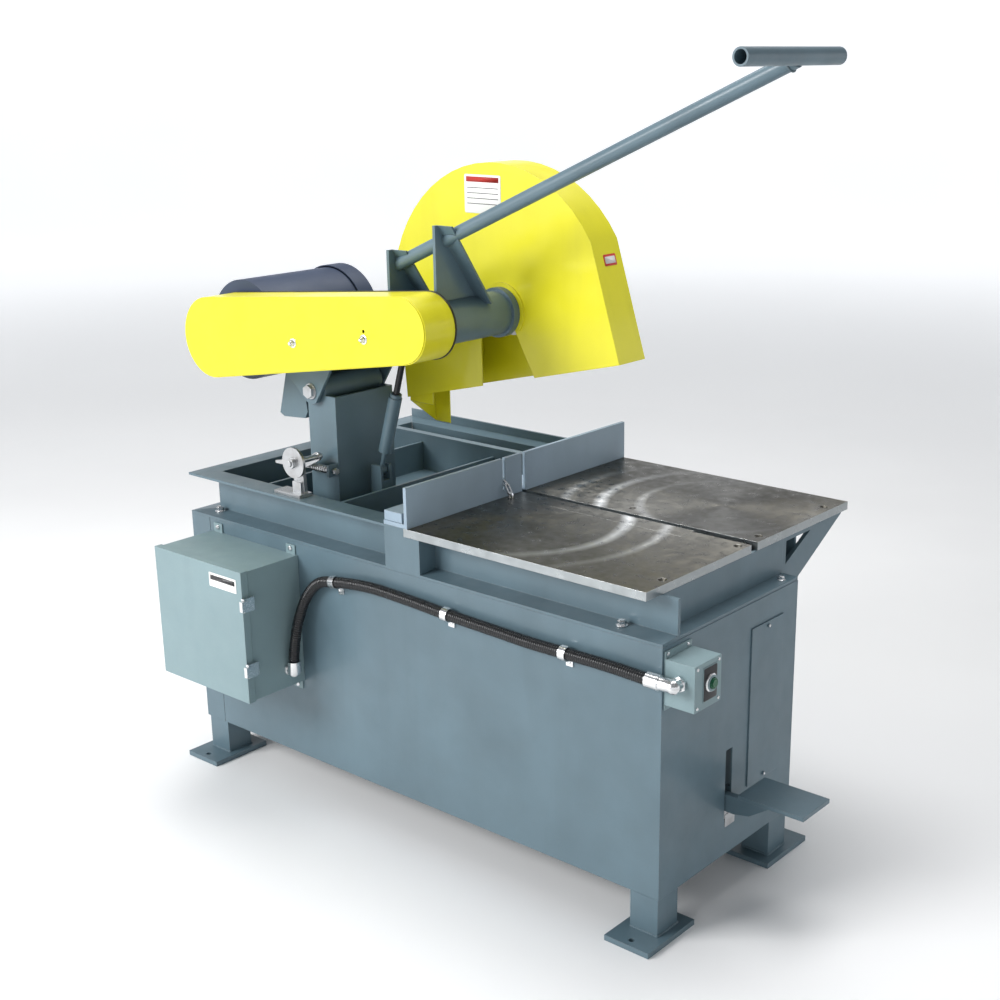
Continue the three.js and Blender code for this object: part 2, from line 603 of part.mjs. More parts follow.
// A gusset plate with a flange down its sloping edge; foot and top are spans in Y at footZ and topZ.
function handleBracket(x, foot, top, footZ, topZ) {
  const web = [[foot[0], footZ], [foot[1], footZ], [top[1], topZ], [top[0], topZ]];
  const flange = [[foot[1] - 6, footZ], [foot[1], footZ], [top[1], topZ], [top[1] - 6, topZ]];
  const body = join(plateYZ(web, [x - 4, x + 4]), plateYZ(flange, [x - 4, x + 45]));
  return cut(body, rodBetween(armPoint(-880), armPoint(-600), ARM_R + 0.4, 24));
}

function bracketFront() {
  const bracket = handleBracket(-716, [126, 266], [126, 140], 1255, 1438);
  return cut(bracket, rodY(51.2, SPINDLE, [100, 345], 36));
}

function bracketRear() {
  const beamTop = plateXZ([beltLine(-1262, 0), beltLine(-784, 0), beltLine(-784, 40.4), beltLine(-1262, 36.4)],
    [100, 345]);
  return cut(handleBracket(-866, [130, 244], [130, 148], beltLine(-862, 33.5)[1], 1374), beamTop);
}

function handleArm() {
  const rod = rodBetween(armPoint(-874), armPoint(155), ARM_R, 24);
  return cut(rod, rodBetween(armPoint(-890), armPoint(100), ARM_R - 4, 16), rodY(16.9, GRIP, [60, 260]));
}

function handleGrip() {
  return cut(rodY(16.5, GRIP, [-27, 307]), rodY(12.5, GRIP, [-28, 308], 16));
}

function coverShape(inset) {
  return bandShape(COVER_END, 99 - inset, SPINDLE, 75 - inset);
}

function beltGuard() {
  const shell = join(plateXZ(coverShape(SKIN), [COVER_Y[0], COVER_Y[0] + 3]),
    plateXZ(coverShape(0), [COVER_Y[0] + 2.5, COVER_Y[1]]));
  const inside = plateXZ(coverShape(SKIN), [COVER_Y[0] + SKIN, COVER_Y[1] + 1]);
  return cut(shell, inside, rodY(4, [-838, 1208], [COVER_Y[0] - 1, COVER_Y[0] + 4], 16));
}

// The posts reach forward for the two nuts that hold the belt guard on.
function beltGuardBack() {
  const plate = plateXZ(coverShape(-2), [COVER_Y[1] + GAP, EAR_Y[0] - GAP]);
  const postY = [COVER_Y[0] + SKIN + GAP, COVER_Y[1] + 1];
  const posts = [[-1077, 1155], [-838, 1190]].map(at => rodY(5, at, postY, 16));
  return cut(join(plate, posts), rodY(34, SPINDLE, [100, 120]), rodY(40, MOTOR, [100, 120]));
}

// One flat side of the wheel guard faces outward at tilt degrees, at a distance from the guard's centre.
// It leaves the round top at angle and ends at foot; turn is 1 for the front side and -1 for the back.
function guardSide(tilt, distance, radius, length, turn) {
  const [x, z] = GUARD_CENTRE;
  const out = THREE.MathUtils.degToRad(tilt);
  const foot = [x + distance * Math.cos(out) + turn * length * Math.sin(out),
    z + distance * Math.sin(out) - turn * length * Math.cos(out)];
  return { angle: out + turn * Math.acos(distance / radius), foot };
}

// The guard seen from the side: a round top between a sloping front and a nearly upright back.
function guardShape(inset) {
  const radius = GUARD_R - inset;
  const front = guardSide(17.1, 323.3 - inset, radius, 390, 1);
  const back = guardSide(184.5, 317.7 - inset, radius, 252, -1);
  const shape = new THREE.Shape();
  shape.absarc(...GUARD_CENTRE, radius, front.angle, back.angle, false);
  shape.lineTo(...back.foot);
  shape.lineTo(...front.foot);
  return shape;
}

function wheelGuard() {
  const y = [GUARD_Y[0] - 1, GUARD_Y[0] + SKIN + 1];
  const drum = plateXZ(guardShape(0), GUARD_Y);
  const inside = plateXZ(guardShape(SKIN), [GUARD_Y[0] + SKIN, GUARD_Y[1] - SKIN]);
  const below = plateXZ([[-1200, 935.5], [-379, 1135], [-250, 1160], [-250, 900], [-1200, 900]],
    [GUARD_Y[0] - 1, GUARD_Y[1] + 1]);
  const notch = plateXZ([[-790, 900], [-790, 1166], [-700, 1166], [-693, 1196], [-626, 1075], [-560, 900]], y);
  const boss = rodY(68, SPINDLE, [GUARD_Y[0] - 4, GUARD_Y[0] + SKIN], 36);
  const bossKeep = plateXZ([[-800, 1236], [-716, 1212], [-692, 1196], [-600, 1140], [-600, 1320], [-800, 1320]],
    [GUARD_Y[0] - 6, GUARD_Y[0] + 6]);
  const shaftRoom = rodY(32, SPINDLE, [GUARD_Y[0] - 6, GUARD_Y[0] + SKIN + 1]);
  return cut(join(cut(drum, inside, below, notch), boss.intersect(bossKeep)), shaftRoom);
}

function guardChute() {
  const near = GUARD_Y[0] + SKIN + GAP;
  const far = GUARD_Y[1] - SKIN - GAP;
  const duct = box([-1038, -960], [near, far], [890, 1040]);
  const inside = box([-1035, -950], [near + SKIN, far - SKIN], [880, 1050]);
  const slope = plateYZ([[near - 1, 860], [near - 1, 966], [far + 1, 896], [far + 1, 860]], [-1060, -940]);
  return cut(duct, inside, slope, box([-985, -950], [near + 20, far + 1], [880, 1000]));
}

function motorBody() {
  const barrel = rodY(125, MOTOR, [132, 420], 56);
  const face = rodY(60, MOTOR, [122, 134]);
  const feet = box([-1300, EAR_BACK - GAP], [170, 330], [1092, 1184]);
  return cut(join(barrel, face, feet), rodY(16.6, MOTOR, [121, 400], 16), rodY(88, MOTOR, [150, 400], 24));
}

// A cup with a tapered end: straight from y[0] to y[1], then narrowing to y[2].
function cup(radius, y) {
  return join(rodY(radius, MOTOR, [y[0], y[1]], 48), rodY(radius, MOTOR, [y[1], y[2]], 48, radius - 35));
}

function motorCowl() {
  return cut(cup(131, [420 + GAP, 470, 504]), cup(131 - SKIN, [419, 468, 501]));
}

function sheave(at, radius, bore) {
  const y = [48, 92];
  const rims = [[y[0], y[0] + 4], [y[1] - 4, y[1]]].map(span => rodY(radius, at, span, 24));
  return cut(join(rodY(radius - 9, at, y, 24), rims), rodY(bore, at, [y[0] - 1, y[1] + 1], 20));
}

function motorSheave() {
  return join(sheave(MOTOR, 72, 5), rodY(16, MOTOR, [44, 390], 16));
}

function driveBelt() {
  const loop = bandShape(MOTOR, 71, SPINDLE, 59);
  loop.holes.push(bandShape(MOTOR, 64, SPINDLE, 52));
  return plateXZ(loop, [53, 87], 7);
}

function spindleShaft() {
  const bearings = [[EAR_Y[0] + 4, EAR_Y[0] + 26], [322, 344]].map(y => rodY(29.4, SPINDLE, y, 20));
  return join(rodY(22, SPINDLE, [40, 424], 20), bearings, rodY(60, SPINDLE, [WHEEL_Y - 14, WHEEL_Y - 2.6]));
}

// The outer flange and its nut, run up against the inner flange with no wheel between them.
function wheelFlange() {
  const near = WHEEL_Y - 2.6 + GAP;
  const flange = join(rodY(60, SPINDLE, [near, near + 10]), rodY(34, SPINDLE, [near + 9, near + 26], 6));
  return cut(flange, rodY(22.4, SPINDLE, [near - 1, near + 30], 20));
}

// ---- damper ----
function damperPoint(t) {
  const mix = axis => DAMPER_FOOT[axis] + t * (DAMPER_HEAD[axis] - DAMPER_FOOT[axis]);
  return [mix(0), DAMPER_Y, mix(1)];
}

function damperRodSpan(from, to, radius, sides) {
  return rodBetween(damperPoint(from), damperPoint(to), radius, sides);
}

function damperCylinder() {
  const eye = rodY(12, DAMPER_FOOT, [DAMPER_Y - 8, DAMPER_Y + 8], 20);
  const barrel = join(damperRodSpan(0.16, 0.63, 16.5, 24), damperRodSpan(0.62, 0.66, 14, 20));
  const pinHole = rodY(6.4, DAMPER_FOOT, [DAMPER_Y - 10, DAMPER_Y + 10], 16);
  return cut(join(eye, damperRodSpan(0, 0.2, 6, 12), barrel), damperRodSpan(0.2, 0.67, 8.4, 16), pinHole);
}

function damperRod() {
  const eye = rodY(13, DAMPER_HEAD, [DAMPER_Y - 8, DAMPER_Y + 8], 20);
  const pinHole = rodY(8, DAMPER_HEAD, [DAMPER_Y - 10, DAMPER_Y + 10], 20);
  return cut(join(damperRodSpan(0.5, 0.966, 7.8, 16), eye), pinHole);
}

// ---- the machine ----
add(base, 'cabinet_shell', 'framePaint', cabinetShell());
add(base, 'spark_tray', 'framePaint', sparkTray());
addLegs();
add(base, 'access_cover', 'framePaint', accessCover());
add(base, 'rail_near', 'framePaint', railNear());
add(base, 'rail_far', 'framePaint', railFar());
add(base, 'rail_rear', 'framePaint', railRear());
add(base, 'rail_front', 'framePaint', railFront());
add(base, 'rail_mid', 'framePaint', railMid());
add(base, 'pedestal_bearer', 'framePaint', pedestalBearer());
add(base, 'gusset_front', 'framePaint', gussetFront());
add(base, 'gusset_rear', 'framePaint', gussetRear());
add(base, 'table_plate_near', 'groundSteel', tablePlateNear());
add(base, 'table_plate_far', 'groundSteel', tablePlateFar());
add(base, 'table_strip', 'groundSteel', tableStrip());
add(base, 'fence_near', 'fencePaint', fenceNear());
add(base, 'fence_far', 'fencePaint', fencePiece([409, FRAME_WIDTH]));
add(base, 'fence_bar', 'fencePaint', fenceBar());
add(base, 'hold_down_chain', 'plated', holdDownChain());
add(base, 'pedestal', 'framePaint', pedestal());
add(base, 'tension_bracket', 'turnedSteel', tensionBracket());
add(dial, 'tension_disc', 'turnedSteel', tensionDisc());
add(base, 'tension_spring', 'turnedSteel', tensionSpring());
add(base, 'enclosure_box', 'boxPaint', enclosureBox());
add(door, 'enclosure_door', 'boxPaint', enclosureDoor());
addLatches();
add(base, 'conduit', 'jacket', conduit());
add(base, 'elbow_low', 'plated', elbowLow());
add(base, 'elbow_high', 'plated', elbowHigh());
addClamps();
add(base, 'button_box', 'boxPaint', buttonBox());
add(base, 'start_button', 'button', startButton());
add(pedal, 'foot_pedal', 'framePaint', footPedal());
add(base, 'pedal_bracket', 'framePaint', pedalBracket());
add(head, 'head_frame', 'framePaint', headFrame());
add(head, 'pivot_shaft', 'turnedSteel', pivotShaft());
add(head, 'spindle_housing', 'framePaint', spindleHousing());
add(head, 'bracket_front', 'framePaint', bracketFront());
add(head, 'bracket_rear', 'framePaint', bracketRear());
add(head, 'handle_arm', 'framePaint', handleArm());
add(head, 'handle_grip', 'framePaint', handleGrip());
add(head, 'belt_guard', 'guardPaint', beltGuard());
add(head, 'belt_guard_back', 'guardPaint', beltGuardBack());
add(head, 'wheel_guard', 'guardPaint', wheelGuard());
add(head, 'guard_chute', 'guardPaint', guardChute());
add(head, 'motor_body', 'motorPaint', motorBody());
add(head, 'motor_cowl', 'motorPaint', motorCowl());
add(head, 'drive_belt', 'rubber', driveBelt());
add(rotor, 'motor_sheave', 'castIron', motorSheave());
add(spindle, 'driven_sheave', 'castIron', sheave(SPINDLE, 60, 22.4));
add(spindle, 'spindle_shaft', 'turnedSteel', spindleShaft());
add(spindle, 'wheel_flange', 'motorPaint', wheelFlange());
add(damperBarrel, 'damper_cylinder', 'framePaint', damperCylinder());
add(damperPiston, 'damper_rod', 'black', damperRod());

export default machine;
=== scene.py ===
"""Looks for the abrasive chop saw: materials, fittings, camera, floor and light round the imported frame."""
import math

import bmesh
import bpy
from mathutils import Matrix, Vector, noise


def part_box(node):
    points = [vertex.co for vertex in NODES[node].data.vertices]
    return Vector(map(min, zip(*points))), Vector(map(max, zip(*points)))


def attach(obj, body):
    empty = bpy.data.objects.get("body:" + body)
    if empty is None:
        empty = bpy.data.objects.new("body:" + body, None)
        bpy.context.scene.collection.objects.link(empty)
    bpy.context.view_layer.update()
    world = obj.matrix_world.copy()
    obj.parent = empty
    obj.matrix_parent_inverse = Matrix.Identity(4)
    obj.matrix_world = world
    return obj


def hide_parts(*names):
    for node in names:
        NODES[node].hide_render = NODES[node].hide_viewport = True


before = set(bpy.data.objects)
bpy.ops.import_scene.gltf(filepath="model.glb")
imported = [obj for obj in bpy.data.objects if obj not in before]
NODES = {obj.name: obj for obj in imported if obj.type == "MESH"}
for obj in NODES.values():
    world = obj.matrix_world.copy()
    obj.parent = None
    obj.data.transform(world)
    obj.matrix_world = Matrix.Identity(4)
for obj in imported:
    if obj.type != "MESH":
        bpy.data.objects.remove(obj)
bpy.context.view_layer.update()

# The operator end of the base and its near side: the CAD's own millimetres are measured from them.
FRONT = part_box("cabinet_shell")[1].x
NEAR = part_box("cabinet_shell")[0].y
MM = 0.001

BASE_WIDTH = 518
FRAME_BACK = -1489
FLANGE_TOP = 681
LEG_CENTRE = 40.3
LEG_HALF = 36
TABLE_TOP = 778

# Camera: the photograph's viewing angle
EYE = Vector((2.24754, -2.56171, 1.78823))
CAMERA_RIGHT = Vector((0.7715676, 0.6361180, -0.0061104))
CAMERA_UP = Vector((-0.1849521, 0.2335040, 0.9546039))
LENS = 53.90
SHIFT = (-0.0544, 0.0234)

X, Y, Z = Vector((1, 0, 0)), Vector((0, 1, 0)), Vector((0, 0, 1))


def at(x, y, z):
    """A point given in the CAD's millimetres."""
    return Vector((FRONT + x * MM, NEAR + y * MM, z * MM))


# ---- materials ----
class Look:
    """A material whose nodes are added with short calls."""

    def __init__(self, name, roughness=0.5, metallic=0.0, **sockets):
        self.material = bpy.data.materials.new(name)
        self.material.use_nodes = True
        self.tree = self.material.node_tree
        self.shader = self.tree.nodes["Principled BSDF"]
        self.place = self.node("ShaderNodeTexCoord").outputs["Object"]
        self.set(Roughness=roughness, Metallic=metallic)
        for socket, value in sockets.items():
            self.shader.inputs[socket.replace("_", " ")].default_value = value

    def node(self, kind, values=None, **settings):
        made = self.tree.nodes.new(kind)
        for name, value in settings.items():
            setattr(made, name, value)
        for key, value in (values or {}).items():
            self.put(made.inputs[key], value)
        return made

    def put(self, socket, value):
        if isinstance(value, bpy.types.NodeSocket):
            self.tree.links.new(value, socket)
        else:
            socket.default_value = value

    def set(self, **values):
        for name, value in values.items():
            self.put(self.shader.inputs[name.replace("_", " ")], value)

    def stretched(self, scale):
        return self.node("ShaderNodeMapping", {"Vector": self.place, "Scale": scale}).outputs["Vector"]

    def noise(self, scale, detail=3.0, stretch=None):
        vector = self.stretched(stretch) if stretch else self.place
        values = {"Vector": vector, "Scale": scale, "Detail": detail}
        return self.node("ShaderNodeTexNoise", values).outputs["Fac"]

    def span(self, value, low, high, to_low=0.0, to_high=1.0):
        values = {0: value, 1: low, 2: high, 3: to_low, 4: to_high}
        return self.node("ShaderNodeMapRange", values).outputs[0]

    def mix(self, factor, first, second):
        values = {0: factor, 6: first, 7: second}
        return self.node("ShaderNodeMix", values, data_type="RGBA").outputs[2]

    def maths(self, operation, first, second):
        return self.node("ShaderNodeMath", {0: first, 1: second}, operation=operation).outputs[0]

    def rounded(self, radius):
        return self.node("ShaderNodeBevel", {"Radius": radius}, samples=4).outputs["Normal"]

    def edges(self, rounded, low=0.80, high=0.985):
        """Near 1 where the rounded normal leaves the flat one, so along edges."""
        flat = self.node("ShaderNodeNewGeometry").outputs["Normal"]
        dot = self.node("ShaderNodeVectorMath", {0: rounded, 1: flat}, operation="DOT_PRODUCT")
        return self.span(dot.outputs["Value"], low, high, 1.0, 0.0)

    def bump(self, height, strength, distance, normal=None):
        values = {"Height": height, "Strength": strength, "Distance": distance}
        if normal is not None:
            values["Normal"] = normal
        return self.node("ShaderNodeBump", values).outputs["Normal"]


def grey(value):
    return (value, value, value, 1.0)


def shade(colour, factor):
    return tuple(min(1.0, channel * factor) for channel in colour[:3]) + (1.0,)


def paint(name, colour, roughness, worn, peel=0.12, tone=0.12, wear=0.5, coat=0.0):
    """Sprayed enamel: soft tone changes, fine specks, orange peel and paint thinned or chipped on edges."""
    look = Look(name, roughness, 0.0, Coat_Weight=coat, Coat_Roughness=0.12)
    cloud = look.span(look.noise(5.0, 4.0), 0.3, 0.7)
    base = look.mix(cloud, shade(colour, 1 - tone), shade(colour, 1 + tone))
    streaks = look.span(look.noise(14.0, 3.0, (1.0, 1.0, 0.12)), 0.52, 0.80, 0.0, 0.30)
    base = look.mix(streaks, base, shade(colour, 0.72))
    specks = look.span(look.noise(420.0, 2.0), 0.60, 0.74, 0.0, 0.16)
    base = look.mix(specks, base, shade(colour, 1.5))
    rounded = look.rounded(0.0016)
    chips = look.span(look.noise(130.0, 4.0), 0.46, 0.62)
    rubbed = look.maths("MULTIPLY", look.maths("MULTIPLY", look.edges(rounded), chips), wear)
    look.set(Base_Color=look.mix(rubbed, base, worn))
    look.set(Roughness=look.span(look.noise(22.0, 5.0), 0.25, 0.75, roughness - 0.07, roughness + 0.12))
    waves = look.bump(look.noise(3.2, 1.0), 0.35, 0.004, rounded)
    look.set(Normal=look.bump(look.noise(520.0, 2.0), peel, 0.0006, waves))
    return look.material


def bare_metal(name, colour, roughness, grime, scratch=0.25, lay=(1.0, 1.0, 1.0), dirt=0.35):
    """Plain or plated metal with fine scratches along one direction and grime in blotches."""
    look = Look(name, roughness, 1.0)
    blotch = look.span(look.noise(28.0, 5.0), 0.48, 0.72, 0.0, dirt)
    look.set(Base_Color=look.mix(blotch, colour, grime))
    fine = look.noise(600.0, 3.0, lay)
    look.set(Roughness=look.span(fine, 0.3, 0.7, roughness - 0.06, roughness + 0.14))
    look.set(Normal=look.bump(fine, scratch, 0.0003, look.rounded(0.0009)))
    return look.material


def moulded(name, colour, roughness, grain=0.2):
    """Rubber or hard plastic with a fine moulded grain and a little dust."""
    look = Look(name, roughness)
    dust = look.span(look.noise(35.0, 5.0), 0.5, 0.8, 0.0, 0.25)
    look.set(Base_Color=look.mix(dust, colour, shade(colour, 2.4)))
    look.set(Roughness=look.span(look.noise(60.0, 4.0), 0.3, 0.7, roughness - 0.08, roughness + 0.1))
    look.set(Normal=look.bump(look.noise(700.0, 2.0), grain, 0.0004, look.rounded(0.0008)))
    return look.material


# Painted highlight: the table's sheen and swirls are brightest round this point, on the strip beside the
# wheel slot.
GLEAM = at(-430, 350, TABLE_TOP)


def ground_table(name, centre, highlight_swirls):
    """Rotary-ground plate: grooves in circles round a centre, oily staining, and painted highlights: swirls,
    a sheen and lighter sides.
    """
    look = Look(name, 0.34, 1.0, Anisotropic=0.75)
    out = look.node("ShaderNodeVectorMath", {0: look.place, 1: centre}, operation="SUBTRACT").outputs[0]
    along = look.node("ShaderNodeVectorMath", {0: Z, 1: out}, operation="CROSS_PRODUCT").outputs[0]
    distance = look.node("ShaderNodeVectorMath", {0: out}, operation="LENGTH").outputs["Value"]
    wobble = look.maths("ADD", distance, look.span(look.noise(4.0, 1.0), 0.0, 1.0, -0.012, 0.012))
    cloud = look.span(look.noise(7.0, 4.0), 0.3, 0.7)
    brown = look.mix(cloud, (0.085, 0.080, 0.066, 1), (0.17, 0.16, 0.135, 1))
    stains = look.span(look.noise(26.0, 6.0), 0.52, 0.75, 0.0, 0.4)
    base = look.mix(stains, brown, (0.055, 0.048, 0.036, 1))
    # Painted highlight: a light-grey sheen and the swirl arcs, fading with distance from GLEAM.
    away = look.node("ShaderNodeVectorMath", {0: look.place, 1: GLEAM}, operation="DISTANCE")
    lit = look.span(away.outputs["Value"], 0.10, 0.42, 1.0, 0.12)
    base = look.mix(look.maths("MULTIPLY", lit, 0.20), base, (0.55, 0.56, 0.56, 1))
    # Each swirl is a painted reflection: a bright ring of the given radius, width and strength.
    for radius, width, strength in highlight_swirls:
        off = look.maths("ABSOLUTE", look.maths("SUBTRACT", wobble, radius), 0.0)
        glow = look.maths("MULTIPLY", look.span(off, 0.0, width, strength, 0.0), lit)
        base = look.mix(glow, base, (0.92, 0.94, 0.95, 1))
    # Painted highlight: the plates' side faces are painted a lighter grey, standing in for the light they
    # reflect.
    facing_out = look.node("ShaderNodeTexCoord").outputs["Normal"]
    lift = look.node("ShaderNodeSeparateXYZ", {"Vector": facing_out}).outputs["Z"]
    side = look.span(look.maths("ABSOLUTE", lift, 0.0), 0.3, 0.6, 0.75, 0.0)
    base = look.mix(side, base, (0.46, 0.50, 0.52, 1))
    grooves = look.maths("SINE", look.maths("MULTIPLY", distance, 2600.0), 0.0)
    rounded = look.rounded(0.0012)
    bright = look.maths("MULTIPLY", look.edges(rounded), 0.8)
    look.set(Base_Color=look.mix(bright, base, (0.78, 0.78, 0.76, 1)))
    look.set(Roughness=look.span(look.noise(40.0, 4.0), 0.3, 0.7, 0.24, 0.46))
    look.set(Tangent=look.node("ShaderNodeVectorMath", {0: along}, operation="NORMALIZE").outputs[0])
    pitted = look.bump(look.noise(300.0, 3.0), 0.12, 0.0003, rounded)
    look.set(Normal=look.bump(grooves, 0.05, 0.0003, pitted))
    return look.material


WORN_STEEL = (0.30, 0.29, 0.27, 1)
FRAME_BLUE = (0.094, 0.150, 0.182, 1)
LEMON = (0.72, 0.665, 0.008, 1)

PAINT = {
    "frame": paint("enamel_blue_grey", FRAME_BLUE, 0.40, WORN_STEEL, coat=0.15),
    "guard": paint("enamel_lemon", LEMON, 0.36, (0.45, 0.36, 0.10, 1),
                   peel=0.08, tone=0.04, wear=0.35, coat=0.3),
    "motor": paint("motor_slate", (0.022, 0.038, 0.078, 1), 0.46, (0.10, 0.12, 0.16, 1)),
    "navy": paint("flange_navy", (0.012, 0.017, 0.035, 1), 0.35, (0.2, 0.2, 0.2, 1), coat=0.2),
    "fence": paint("fence_grey", (0.27, 0.355, 0.43, 1), 0.42, (0.55, 0.54, 0.5, 1), wear=0.8),
    "box": paint("enclosure_grey", (0.20, 0.285, 0.305, 1), 0.45, (0.5, 0.5, 0.48, 1), tone=0.05, wear=0.3),
    "black": paint("black_enamel", (0.010, 0.010, 0.012, 1), 0.38, (0.18, 0.18, 0.18, 1)),
    "white": paint("label_white", (0.80, 0.80, 0.78, 1), 0.42, (0.6, 0.6, 0.58, 1), tone=0.03, wear=0.1),
    "red": paint("label_red", (0.55, 0.03, 0.02, 1), 0.42, (0.5, 0.2, 0.2, 1), tone=0.05, wear=0.1),
}
STEEL = {
    "table_near": ground_table("ground_near", at(-585, 215, TABLE_TOP),
                               ((0.272, 0.022, 0.95), (0.362, 0.018, 0.6))),
    "table_far": ground_table("ground_far", at(-250, 600, TABLE_TOP),
                              ((0.296, 0.020, 0.95), (0.383, 0.018, 0.5), (0.205, 0.016, 0.35))),
    "turned": bare_metal("turned_steel", (0.50, 0.51, 0.52, 1), 0.30, (0.16, 0.13, 0.10, 1), lay=(1, 8, 1)),
    "plated": bare_metal("zinc_plate", (0.78, 0.79, 0.80, 1), 0.18, (0.35, 0.34, 0.32, 1), scratch=0.12),
    "iron": bare_metal("cast_iron", (0.11, 0.11, 0.115, 1), 0.55, (0.05, 0.04, 0.035, 1), scratch=0.6),
}
PLASTIC = {
    "jacket": moulded("conduit_jacket", (0.007, 0.0075, 0.009, 1), 0.28),
    "rubber": moulded("belt_rubber", (0.014, 0.014, 0.014, 1), 0.75, 0.5),
    "green": moulded("button_green", (0.008, 0.10, 0.045, 1), 0.22, 0.05),
}

FINISHES = [
    (PAINT["frame"], "cabinet_shell spark_tray leg_near_front leg_near_rear leg_far_front leg_far_rear "
     "access_cover rail_near rail_far rail_rear rail_front rail_mid pedestal_bearer gusset_front gusset_rear "
     "pedestal foot_pedal pedal_bracket head_frame spindle_housing bracket_front bracket_rear handle_arm "
     "handle_grip damper_cylinder"),
    (PAINT["guard"], "belt_guard wheel_guard guard_chute"),
    (PAINT["black"], "belt_guard_back damper_rod"),
    (PAINT["motor"], "motor_body motor_cowl"),
    (PAINT["navy"], "wheel_flange"),
    (PAINT["fence"], "fence_near fence_far fence_bar"),
    (PAINT["box"], "enclosure_box enclosure_door button_box"),
    (STEEL["table_near"], "table_plate_near table_strip"),
    (STEEL["table_far"], "table_plate_far"),
    (STEEL["turned"], "tension_bracket tension_disc tension_spring pivot_shaft spindle_shaft"),
    (STEEL["plated"], "hold_down_chain door_latch_upper door_latch_lower elbow_low elbow_high "
     "clamp_rear clamp_middle clamp_front"),
    (STEEL["iron"], "motor_sheave driven_sheave"),
    (PLASTIC["rubber"], "drive_belt"),
    (PLASTIC["green"], "start_button"),
    (PLASTIC["jacket"], "conduit"),
]


def smoothing_group():
    """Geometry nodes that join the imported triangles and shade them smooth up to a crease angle."""
    tree = bpy.data.node_groups.new("smooth_by_angle", "GeometryNodeTree")
    tree.interface.new_socket("Geometry", in_out="INPUT", socket_type="NodeSocketGeometry")
    tree.interface.new_socket("Geometry", in_out="OUTPUT", socket_type="NodeSocketGeometry")

    def add(kind, **settings):
        made = tree.nodes.new(kind)
        for name, value in settings.items():
            setattr(made, name, value)
        return made

    source, result = add("NodeGroupInput"), add("NodeGroupOutput")
    merge = add("GeometryNodeMergeByDistance")
    merge.inputs["Distance"].default_value = 2e-5
    plain = add("GeometryNodeRemoveAttribute")
    plain.inputs["Name"].default_value = "custom_normal"
    smooth = add("GeometryNodeSetShadeSmooth", domain="FACE")
    crease = add("GeometryNodeSetShadeSmooth", domain="EDGE")
    crease.inputs["Shade Smooth"].default_value = False
    angle = add("GeometryNodeInputMeshEdgeAngle")
    sharp = add("FunctionNodeCompare", data_type="FLOAT", operation="GREATER_THAN")
    sharp.inputs["B"].default_value = math.radians(32)
    chain = [source, merge, plain, smooth, crease, result]
    for before, after in zip(chain, chain[1:]):
        tree.links.new(before.outputs[0], after.inputs[0])
    tree.links.new(angle.outputs["Unsigned Angle"], sharp.inputs["A"])
    tree.links.new(sharp.outputs["Result"], crease.inputs["Selection"])
    return tree


SMOOTHING = smoothing_group()


def dress_nodes():
    for material, names in FINISHES:
        for name in names.split():
            node = NODES[name]
            node.data.materials.clear()
            node.data.materials.append(material)
            node.modifiers.new("smooth", "NODES").node_group = SMOOTHING


# ---- fittings ----
def piece(name, mesh, material, body):
    """Links a finished bmesh as a piece that rides on a body."""
    data = bpy.data.meshes.new(name)
    bmesh.ops.recalc_face_normals(mesh, faces=mesh.faces)
    mesh.to_mesh(data)
    mesh.free()
    data.materials.append(material)
    data.shade_smooth()
    data.set_sharp_from_angle(angle=math.radians(35))
    made = bpy.data.objects.new(name, data)
    bpy.context.scene.collection.objects.link(made)
    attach(made, body)
    return made


def facing(point, normal):
    """The matrix that stands a piece drawn about +Z on a point, with +Z along normal."""
    return Matrix.Translation(point) @ normal.to_track_quat("Z", "Y").to_matrix().to_4x4()


def lathe(mesh, profile, sides, place, turn=0.0):
    """Turns (radius, height) pairs in millimetres round +Z and closes both ends."""
    rings = []
    for radius, height in profile:
        angles = [turn + 2 * math.pi * i / sides for i in range(sides)]
        ring = [(radius * MM * math.cos(a), radius * MM * math.sin(a), height * MM) for a in angles]
        rings.append([mesh.verts.new(place @ Vector(corner)) for corner in ring])
    for low, high in zip(rings, rings[1:]):
        for i in range(sides):
            j = (i + 1) % sides
            mesh.faces.new((low[i], low[j], high[j], high[i]))
    mesh.faces.new(rings[0])
    mesh.faces.new(rings[-1])


def hex_bolt(name, point, normal, across, body, turn=0.3):
    """A hexagon head with a rounded top on a plain washer."""
    washer, height = 1.55, 0.62
    mesh = bmesh.new()
    place = facing(point, normal)
    r = across / 2
    lathe(mesh, [(r * washer, 0), (r * washer, 1.6), (r * washer * 0.94, 2.0)], 24, place)
    top = 2 + across * height
    lathe(mesh, [(r * 1.1, 1.8), (r * 1.15, 2.4), (r * 1.15, top - 1.2), (r * 0.95, top)], 6, place, turn)
    lathe(mesh, [(r * 0.90, top - 0.6), (r * 0.86, top + 0.3), (r * 0.5, top + 0.8)], 20, place)
    piece(name, mesh, STEEL["plated"], body)


def pan_screw(name, point, normal, radius, body, slot_turn=0.5):
    """A pan-head screw whose driver slot is cut between two half heads."""
    mesh = bmesh.new()
    place = facing(point, normal) @ Matrix.Rotation(slot_turn, 4, "Z")
    half = radius * 0.10
    for side in (1, -1):
        rings = []
        for factor, height in ((1.0, 0), (1.0, 0.25), (0.86, 0.48), (0.55, 0.60)):
            reach = radius * factor
            start = math.asin(half / reach)
            angles = [start + (math.pi - 2 * start) * i / 10 for i in range(11)]
            ring = [(reach * math.cos(a), side * reach * math.sin(a), radius * height) for a in angles]
            rings.append([mesh.verts.new(place @ (Vector(corner) * MM)) for corner in ring])
        for low, high in zip(rings, rings[1:]):
            for i in range(11):
                j = (i + 1) % 11
                mesh.faces.new((low[i], low[j], high[j], high[i]))
        mesh.faces.new(rings[0])
        mesh.faces.new(rings[-1])
    lathe(mesh, [(radius * 0.9, -0.2), (radius * 0.9, radius * 0.18)], 16, place)
    piece(name, mesh, STEEL["plated"], body)


